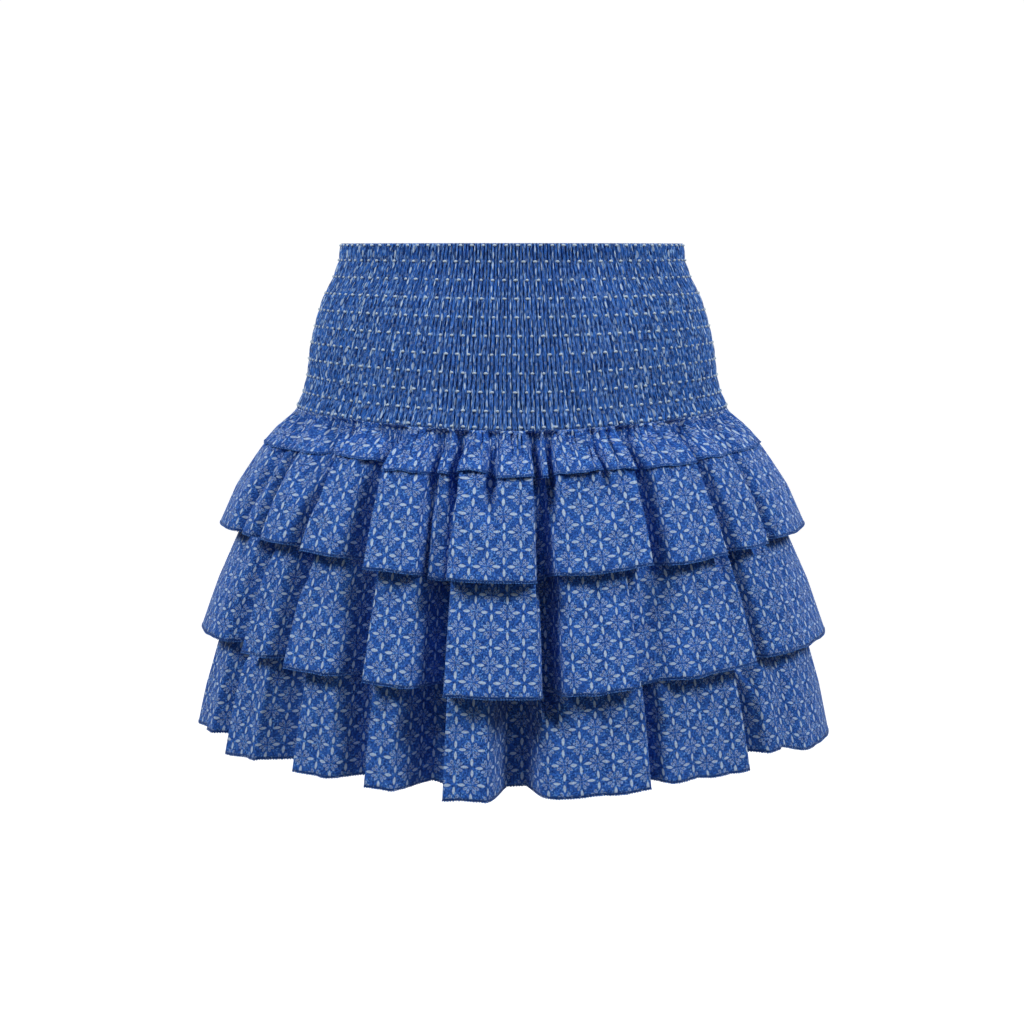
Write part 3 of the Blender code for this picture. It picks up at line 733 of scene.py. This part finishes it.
class Sums:
    """Adds nodes to a shader tree and hands back their output sockets."""

    def __init__(self, tree):
        self.tree = tree

    def do(self, operation, *values):
        node = self.tree.nodes.new("ShaderNodeMath")
        node.operation = operation
        for socket, value in zip(node.inputs, values):
            feed(self.tree, socket, value)
        return node.outputs[0]

    def plus(self, first, second):
        return self.do("ADD", first, second)

    def minus(self, first, second):
        return self.do("SUBTRACT", first, second)

    def times(self, first, second):
        return self.do("MULTIPLY", first, second)

    def step(self, value, low, high):
        """A smooth climb from 0 at low to 1 at high."""
        node = self.tree.nodes.new("ShaderNodeMapRange")
        node.interpolation_type = "SMOOTHSTEP"
        feed(self.tree, node.inputs["Value"], value)
        node.inputs["From Min"].default_value = low
        node.inputs["From Max"].default_value = high
        return node.outputs["Result"]

    def split(self, vector):
        node = self.tree.nodes.new("ShaderNodeSeparateXYZ")
        feed(self.tree, node.inputs[0], vector)
        return node.outputs[0], node.outputs[1]

    def join(self, x, y):
        node = self.tree.nodes.new("ShaderNodeCombineXYZ")
        feed(self.tree, node.inputs[0], x)
        feed(self.tree, node.inputs[1], y)
        return node.outputs[0]

    def noise(self, vector, waves, detail, name="Fac"):
        """One of the noises whose waves are given at the top."""
        node = self.tree.nodes.new("ShaderNodeTexNoise")
        feed(self.tree, node.inputs["Vector"], vector)
        node.inputs["Scale"].default_value = WAVES[waves]
        node.inputs["Detail"].default_value = detail
        return node.outputs[name]

    def mix(self, factor, first, second):
        node = self.tree.nodes.new("ShaderNodeMix")
        node.data_type = "RGBA"
        feed(self.tree, socket_called(node.inputs, "Factor_Float"), factor)
        feed(self.tree, socket_called(node.inputs, "A_Color"), first)
        feed(self.tree, socket_called(node.inputs, "B_Color"), second)
        return socket_called(node.outputs, "Result_Color")


def new_group(name, inputs, outputs):
    """A shader group, its inputs and its outputs. It reads a place on the piece, and values by name."""
    tree = bpy.data.node_groups.new(name, "ShaderNodeTree")
    tree.interface.new_socket("Vector", in_out="INPUT", socket_type="NodeSocketVector")
    for label, value in inputs:
        socket = tree.interface.new_socket(label, in_out="INPUT", socket_type="NodeSocketFloat")
        socket.default_value = value
    for label in outputs:
        tree.interface.new_socket(label, in_out="OUTPUT", socket_type="NodeSocketFloat")
    return tree, tree.nodes.new("NodeGroupInput").outputs, tree.nodes.new("NodeGroupOutput").inputs


def leaf_print_group():
    """Masks of the print: pointed leaves along the lattice and florets at every other crossing."""
    tree, given, made = new_group(
        "leaf and floret print",
        (("Pitch", PRINT_PITCH), ("Leaf Length", 0.25), ("Leaf Width", 0.10), ("Wobble", 2.2 * MM)),
        ("Upright Leaves", "Level Leaves", "Florets"),
    )
    sums = Sums(tree)
    uneven = tree.nodes.new("ShaderNodeVectorMath")
    uneven.operation = "MULTIPLY_ADD"
    feed(tree, uneven.inputs[0], sums.noise(given["Vector"], "hand", 1.0, name="Color"))
    feed(tree, uneven.inputs[1], given["Wobble"])
    feed(tree, uneven.inputs[2], given["Vector"])
    x, y = sums.split(uneven.outputs[0])
    x = sums.do("DIVIDE", x, given["Pitch"])
    y = sums.do("DIVIDE", y, given["Pitch"])
    half_x = sums.minus(sums.do("FRACT", x), 0.5)
    half_y = sums.minus(sums.do("FRACT", y), 0.5)
    next_x = sums.plus(x, 0.5)
    next_y = sums.plus(y, 0.5)
    cross_x = sums.minus(sums.do("FRACT", next_x), 0.5)
    cross_y = sums.minus(sums.do("FRACT", next_y), 0.5)

    def even(first, second):
        """1 where the whole parts of two places add up to an even number."""
        total = sums.plus(sums.do("FLOOR", first), sums.do("FLOOR", second))
        return sums.do("LESS_THAN", sums.do("FLOORED_MODULO", total, 2), 0.5)

    def leaf(along, across, place, row, shift):
        """A pointed leaf between two crossings, nearer to the bare one."""
        aim = sums.times(sums.minus(sums.times(even(place, row), 2), 1), shift)
        far = sums.do("ABSOLUTE", sums.do("DIVIDE", sums.minus(along, aim), given["Leaf Length"]))
        wide = sums.do("DIVIDE", sums.do("ABSOLUTE", across), given["Leaf Width"])
        inside = sums.minus(sums.minus(1, sums.do("POWER", far, LEAF_POINT)), wide)
        return sums.step(inside, 0.0, LEAF_BLUR)

    tree.links.new(leaf(half_x, cross_y, x, next_y, LEVEL_LEAF_SHIFT), made["Level Leaves"])
    tree.links.new(leaf(half_y, cross_x, y, next_x, UPRIGHT_LEAF_SHIFT), made["Upright Leaves"])

    radius = sums.do("SQRT", sums.plus(sums.times(cross_x, cross_x), sums.times(cross_y, cross_y)))
    turn = sums.do("ARCTAN2", cross_y, cross_x)
    from_diagonal = sums.minus(sums.do("FLOORED_MODULO", turn, math.pi / 2), math.pi / 4)
    petal_turn = sums.minus(sums.do("ABSOLUTE", from_diagonal), PETAL_TURN)
    along = sums.minus(sums.times(radius, sums.do("COSINE", petal_turn)), PETAL_MIDDLE)
    across = sums.times(radius, sums.do("SINE", petal_turn))
    oval = sums.do("SQRT", sums.plus(
        sums.do("POWER", sums.do("ABSOLUTE", sums.do("DIVIDE", along, PETAL_LENGTH)), 2),
        sums.do("POWER", sums.do("ABSOLUTE", sums.do("DIVIDE", across, PETAL_WIDTH)), 2)))
    ring = sums.minus(1, sums.step(sums.do("ABSOLUTE", sums.minus(oval, OUTLINE_AT)), *OUTLINE_BLUR))
    filled = sums.times(sums.minus(1, sums.step(oval, *FILLING_FADE)), PETAL_FILLING)
    stroke = sums.minus(1, sums.step(sums.do("ABSOLUTE", across), *STROKE_FADE))
    before_end = sums.minus(1, sums.step(radius, *STROKE_END))
    inner = sums.times(sums.step(radius, *STROKE_START), before_end)
    stroke = sums.times(sums.times(stroke, inner), STROKE_STRENGTH)
    floret = sums.do("MAXIMUM", sums.do("MAXIMUM", ring, filled), stroke)
    tree.links.new(sums.times(floret, even(next_x, next_y)), made["Florets"])
    return tree


def cotton_group():
    """Grain of the cloth: a mottle of lighter and darker threads, and its height."""
    tree, given, made = new_group(
        "cotton grain", (("Stretch Across", 1.0), ("Stretch Down", 1.0)), ("Mottle", "Flecks", "Height"))
    sums = Sums(tree)
    x, y = sums.split(given["Vector"])
    place = sums.join(sums.times(x, given["Stretch Across"]),
                      sums.times(y, given["Stretch Down"]))
    coarse = sums.noise(place, "coarse", 2.0)
    fine = sums.noise(place, "fine", 1.0)
    slow = sums.noise(place, "slow", 1.0)
    total = sums.plus(sums.times(coarse, 0.45), sums.times(fine, 0.45))
    total = sums.plus(total, sums.times(slow, 0.10))
    tree.links.new(sums.step(total, *CLIMB["mottle"]), made["Mottle"])
    tree.links.new(total, made["Height"])
    flecks = sums.step(sums.noise(place, "flecks", 0.0), *CLIMB["flecks"])
    patches = sums.step(sums.noise(place, "fleck patches", 1.0), *CLIMB["fleck patches"])
    tree.links.new(sums.times(flecks, patches), made["Flecks"])
    return tree


def hem_edge_group():
    """Masks of a hem's overlocked strip and of the light specks in it."""
    tree, given, made = new_group("overlocked hem", (("Hem Width", 1.5 * MM),), ("Strip", "Specks"))
    sums = Sums(tree)
    _, height = sums.split(given["Vector"])
    above = sums.minus(height, given["Hem Width"])
    tree.links.new(sums.minus(1, sums.step(above, 0.0, EDGE_BLUR)), made["Strip"])
    specks = sums.step(sums.noise(given["Vector"], "specks", 1.0), *CLIMB["specks"])
    tree.links.new(specks, made["Specks"])
    return tree


def fibre_group():
    """Height of a sewing thread's fibres, also the mask of the shade painted between them."""
    tree, given, made = new_group("thread fibres", (), ("Fibres",))
    tree.links.new(Sums(tree).noise(given["Vector"], "fibres", 1.0), made["Fibres"])
    return tree


def placed(tree, group, place, look):
    """The outputs of a group put into a material, with the values that its look gives by name."""
    node = tree.nodes.new("ShaderNodeGroup")
    node.node_tree = group
    tree.links.new(place, node.inputs["Vector"])
    for name in set(look) & set(node.inputs.keys()):
        node.inputs[name].default_value = look[name]
    return node.outputs


def raise_grain(tree, shader, height, strength, distance):
    """Feed a height to a shader's normal."""
    bump = tree.nodes.new("ShaderNodeBump")
    bump.inputs["Strength"].default_value = strength
    bump.inputs["Distance"].default_value = distance
    tree.links.new(height, bump.inputs["Height"])
    tree.links.new(bump.outputs[0], shader.inputs["Normal"])


def new_material(name):
    """A material, its node tree and its shader."""
    material = bpy.data.materials.new(name)
    material.use_nodes = True
    return material, material.node_tree, material.node_tree.nodes["Principled BSDF"]


def cloth_material(name, groups, look):
    """Printed cotton. look holds its colours and the sizes of its print and grain."""
    material, tree, shader = new_material(name)
    sums = Sums(tree)
    uv_map = tree.nodes.new("ShaderNodeUVMap")
    uv_map.uv_map = "cloth"
    place = uv_map.outputs[0]
    prints, grain, hem = (placed(tree, group, place, look) for group in groups)
    mottle = grain["Mottle"]
    ground = sums.mix(mottle, look["Dark"], look["Light"])
    ground = sums.mix(sums.times(grain["Flecks"], FLECK_STRENGTH), ground, look["Fleck"])
    wear = sums.plus(1 - PRINT_WEAR, sums.times(mottle, PRINT_WEAR))
    florets, upright, level = (
        sums.times(prints[name], look[name]) for name in ("Florets", "Upright Leaves", "Level Leaves"))
    colour = sums.mix(sums.times(florets, wear), ground, look["Mark"])
    colour = sums.mix(sums.times(sums.do("MAXIMUM", upright, level), wear), colour, look["Mark"])
    edging = sums.mix(hem["Specks"], look["Hem Dark"], look["Hem Light"])
    colour = sums.mix(hem["Strip"], colour, edging)
    tree.links.new(colour, shader.inputs["Base Color"])
    rough = sums.minus(COTTON_ROUGHNESS, sums.times(mottle, ROUGHNESS_CHANGE))
    tree.links.new(rough, shader.inputs["Roughness"])
    raise_grain(tree, shader, grain["Height"], look["Bump"], GRAIN_HEIGHT)
    shader.inputs["Sheen Weight"].default_value = 0.06
    shader.inputs["Sheen Roughness"].default_value = 0.5
    shader.inputs["Specular IOR Level"].default_value = 0.25
    return material


def thread_material(name, fibres, colour, roughness):
    """Sewing thread, with shade painted into its colour between its fibres, where they lie low."""
    material, tree, shader = new_material(name)
    place = tree.nodes.new("ShaderNodeTexCoord")
    fibre = placed(tree, fibres, place.outputs["Object"], {})["Fibres"]
    # Painted shade: the colour darkens to this share where the fibres' height is low
    fibre_shade_colour = tuple(THREAD_SHADE * part for part in colour)
    shade = Sums(tree).mix(fibre, fibre_shade_colour + (1,), colour + (1,))
    tree.links.new(shade, shader.inputs["Base Color"])
    shader.inputs["Roughness"].default_value = roughness
    shader.inputs["Specular IOR Level"].default_value = 0.2
    raise_grain(tree, shader, fibre, 0.5, FIBRE_HEIGHT)
    return material


# What a cloth gives its groups by the names of their sockets, its colours and its marks' strengths
PRINTED = {
    "Dark": (0.002, 0.026, 0.165, 1), "Light": (0.030, 0.155, 0.65, 1), "Fleck": (0.14, 0.36, 0.80, 1),
    "Mark": (0.56, 0.71, 0.89, 1), "Hem Dark": (0.013, 0.075, 0.33, 1), "Hem Light": (0.28, 0.43, 0.73, 1),
    "Leaf Length": 0.25, "Leaf Width": 0.10, "Wobble": 2.2 * MM, "Hem Width": 1.5 * MM, "Bump": 0.6,
    "Upright Leaves": 1.0, "Level Leaves": 0.92, "Florets": 0.6, "Stretch Across": 1.0, "Stretch Down": 1.0,
}
SMOCKED = {
    **PRINTED, "Dark": (0.001, 0.018, 0.12, 1), "Light": (0.036, 0.185, 0.68, 1),
    "Fleck": (0.30, 0.52, 0.88, 1), "Wobble": 4 * MM, "Hem Width": -5 * MM, "Bump": 0.9,
    "Level Leaves": 0.25, "Florets": 0.14, "Stretch Across": 1.1, "Stretch Down": 0.28,
}
REVERSE = {
    "Dark": (0.055, 0.115, 0.30, 1), "Light": (0.10, 0.18, 0.42, 1),
    "Upright Leaves": 0.35, "Level Leaves": 0.35, "Florets": 0.25,
}


def stitch_tree():
    """Geometry nodes that lay rounded stitches along every line of a piece."""
    tree = bpy.data.node_groups.new("stitches along a line", "GeometryNodeTree")
    for label, kind in (
        ("Geometry", "Geometry"), ("Pitch", "Float"), ("Length", "Float"), ("Width", "Float"),
        ("Unevenness", "Float"), ("Seed", "Int"), ("Thread", "Material"),
    ):
        tree.interface.new_socket(label, in_out="INPUT", socket_type=f"NodeSocket{kind}")
    tree.interface.new_socket("Geometry", in_out="OUTPUT", socket_type="NodeSocketGeometry")
    given = tree.nodes.new("NodeGroupInput").outputs
    made = tree.nodes.new("NodeGroupOutput").inputs

    def add(kind, inputs, **settings):
        """A node with its settings and what feeds its inputs. Hands back its outputs."""
        node = tree.nodes.new(kind)
        for name, value in settings.items():
            setattr(node, name, value)
        for identifier, value in inputs.items():
            feed(tree, socket_called(node.inputs, identifier), value)
        return node.outputs

    line = add("GeometryNodeMeshToCurve", {"Mesh": given["Geometry"]})
    spaced = add("GeometryNodeResampleCurve", {"Curve": line[0], "Length": given["Pitch"]}, mode="LENGTH")
    stitch = add("GeometryNodeMeshUVSphere", {"Segments": 5, "Rings": 4, "Radius": 0.5})
    tangent = add("GeometryNodeInputTangent", {})
    turn = add("FunctionNodeAlignRotationToVector", {"Vector": tangent[0]}, axis="Z")
    least = add("ShaderNodeMath", {"Value": 1.0, "Value_001": given["Unevenness"]}, operation="SUBTRACT")
    chance = add("FunctionNodeRandomValue", {"Min_001": least[0], "Max_001": 1.0, "Seed": given["Seed"]},
                 data_type="FLOAT")
    chosen = socket_called(chance, "Value_001")
    long = add("ShaderNodeMath", {"Value": given["Length"], "Value_001": chosen}, operation="MULTIPLY")
    size = add("ShaderNodeCombineXYZ", {"X": given["Width"], "Y": given["Width"], "Z": long[0]})
    repeat = add("GeometryNodeInstanceOnPoints", {
        "Points": spaced[0], "Instance": stitch[0], "Rotation": turn[0], "Scale": size[0]})
    whole = add("GeometryNodeRealizeInstances", {"Geometry": repeat[0]})
    finish = add("GeometryNodeSetMaterial", {"Geometry": whole[0], "Material": given["Thread"]})
    tree.links.new(finish[0], made[0])
    return tree


def stitched_lines(name, lines, tree, thread, sizes):
    """A piece of stitches along closed lines of points."""
    bm = bmesh.new()
    for line in lines:
        points = [bm.verts.new(place) for place in line]
        for first, second in zip(points, points[1:] + points[:1]):
            bm.edges.new((first, second))
    mesh = bpy.data.meshes.new(name)
    bm.to_mesh(mesh)
    bm.free()
    piece = bpy.data.objects.new(name, mesh)
    bpy.context.collection.objects.link(piece)
    modifier = piece.modifiers.new("stitches", "NODES")
    modifier.node_group = tree
    values = dict(sizes, Thread=thread)
    for item in tree.interface.items_tree:
        if item.in_out == "INPUT" and item.name in values:
            modifier[item.identifier] = values[item.name]
    made_plain(piece)
    piece.data.shade_smooth()
    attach(piece, "root")
    return piece


def shirring_lines():
    """Lines of the yoke's thread, one along each row, standing out of the puckered cloth."""
    azimuths = np.linspace(-90, 270, ROW_POINTS, endpoint=False)
    lines = []
    for row in range(BANDS + 1):
        share = np.clip(row / BANDS, FIRST_ROW, LAST_ROW)
        height = (seam_height(azimuths) + SEAM_GAP) * share
        radius = outline_radius(YOKE_SECTIONS, share * SEAM_DROP, azimuths) - THREAD_SINK
        lines.append(plan_points(azimuths, radius, height))
    return lines


def studio():
    bpy.ops.mesh.primitive_plane_add(size=FLOOR_SIZE, location=(0, 0, FLOOR_HEIGHT))
    floor = bpy.context.object
    floor.name = "studio_floor"
    material, tree, shader = new_material("studio_white")
    shader.inputs["Base Color"].default_value = (0.4, 0.4, 0.4, 1)
    shader.inputs["Roughness"].default_value = 0.9
    path = tree.nodes.new("ShaderNodeLightPath")
    tree.links.new(path.outputs["Is Camera Ray"], shader.inputs["Emission Strength"])
    shader.inputs["Emission Color"].default_value = (1, 1, 1, 1)
    floor.data.materials.append(material)

    world = bpy.data.worlds.new("studio_air")
    bpy.context.scene.world = world
    world.use_nodes = True
    tree = world.node_tree
    air = tree.nodes["Background"]
    air.inputs["Color"].default_value = (1, 1, 1, 1)
    sums = Sums(tree)
    seen = tree.nodes.new("ShaderNodeLightPath").outputs["Is Camera Ray"]
    tree.links.new(sums.plus(AIR_LIGHT, sums.times(seen, AIR_LIGHT_SEEN)), air.inputs["Strength"])

    for lamp in LAMPS:
        light = bpy.data.lights.new(lamp.name, "AREA")
        light.size = LAMP_SIZE
        light.energy = lamp.power
        holder = bpy.data.objects.new(lamp.name, light)
        bpy.context.collection.objects.link(holder)
        holder.location = lamp.place
        way = Vector(LAMP_AIM) - Vector(lamp.place)
        holder.rotation_euler = way.to_track_quat("-Z", "Y").to_euler()


def photo_camera():
    lens = bpy.data.cameras.new("photo_camera")
    lens.lens = LENS_MM
    lens.sensor_width = SENSOR_MM
    camera = bpy.data.objects.new("photo_camera", lens)
    bpy.context.collection.objects.link(camera)
    pitch = math.atan((PHOTO_PIXELS / 2 - HORIZON_PIXEL) / (LENS_MM / SENSOR_MM * PHOTO_PIXELS))
    camera.location = CAMERA_PLACE
    camera.rotation_euler = (math.pi / 2 - pitch, 0, 0)
    bpy.context.scene.camera = camera


photo_camera()
bpy.context.scene.view_settings.view_transform = "Standard"
cotton = (leaf_print_group(), cotton_group(), hem_edge_group())
printed = [cloth_material("printed_cotton_face", cotton, PRINTED),
           cloth_material("printed_cotton_reverse", cotton, {**PRINTED, **REVERSE})]
smocked = [cloth_material("smocked_cotton_face", cotton, SMOCKED),
           cloth_material("smocked_cotton_reverse", cotton, {**SMOCKED, **REVERSE})]
build_yoke(smocked)
hems = build_flounces(printed)
stitches = stitch_tree()
fibres = fibre_group()
white = thread_material("white_thread", fibres, (0.62, 0.76, 0.90), 0.7)
navy = thread_material("navy_overlock_thread", fibres, (0.075, 0.225, 0.66), 0.9)
shirring = stitched_lines("shirring_stitches", shirring_lines(), stitches, white, SHIRRING)
for name, line in hems.items():
    edge = stitched_lines(f"{name}_overlock", [line - (0, 0, OVERLOCK_DROP)], stitches, navy, OVERLOCK)
studio()
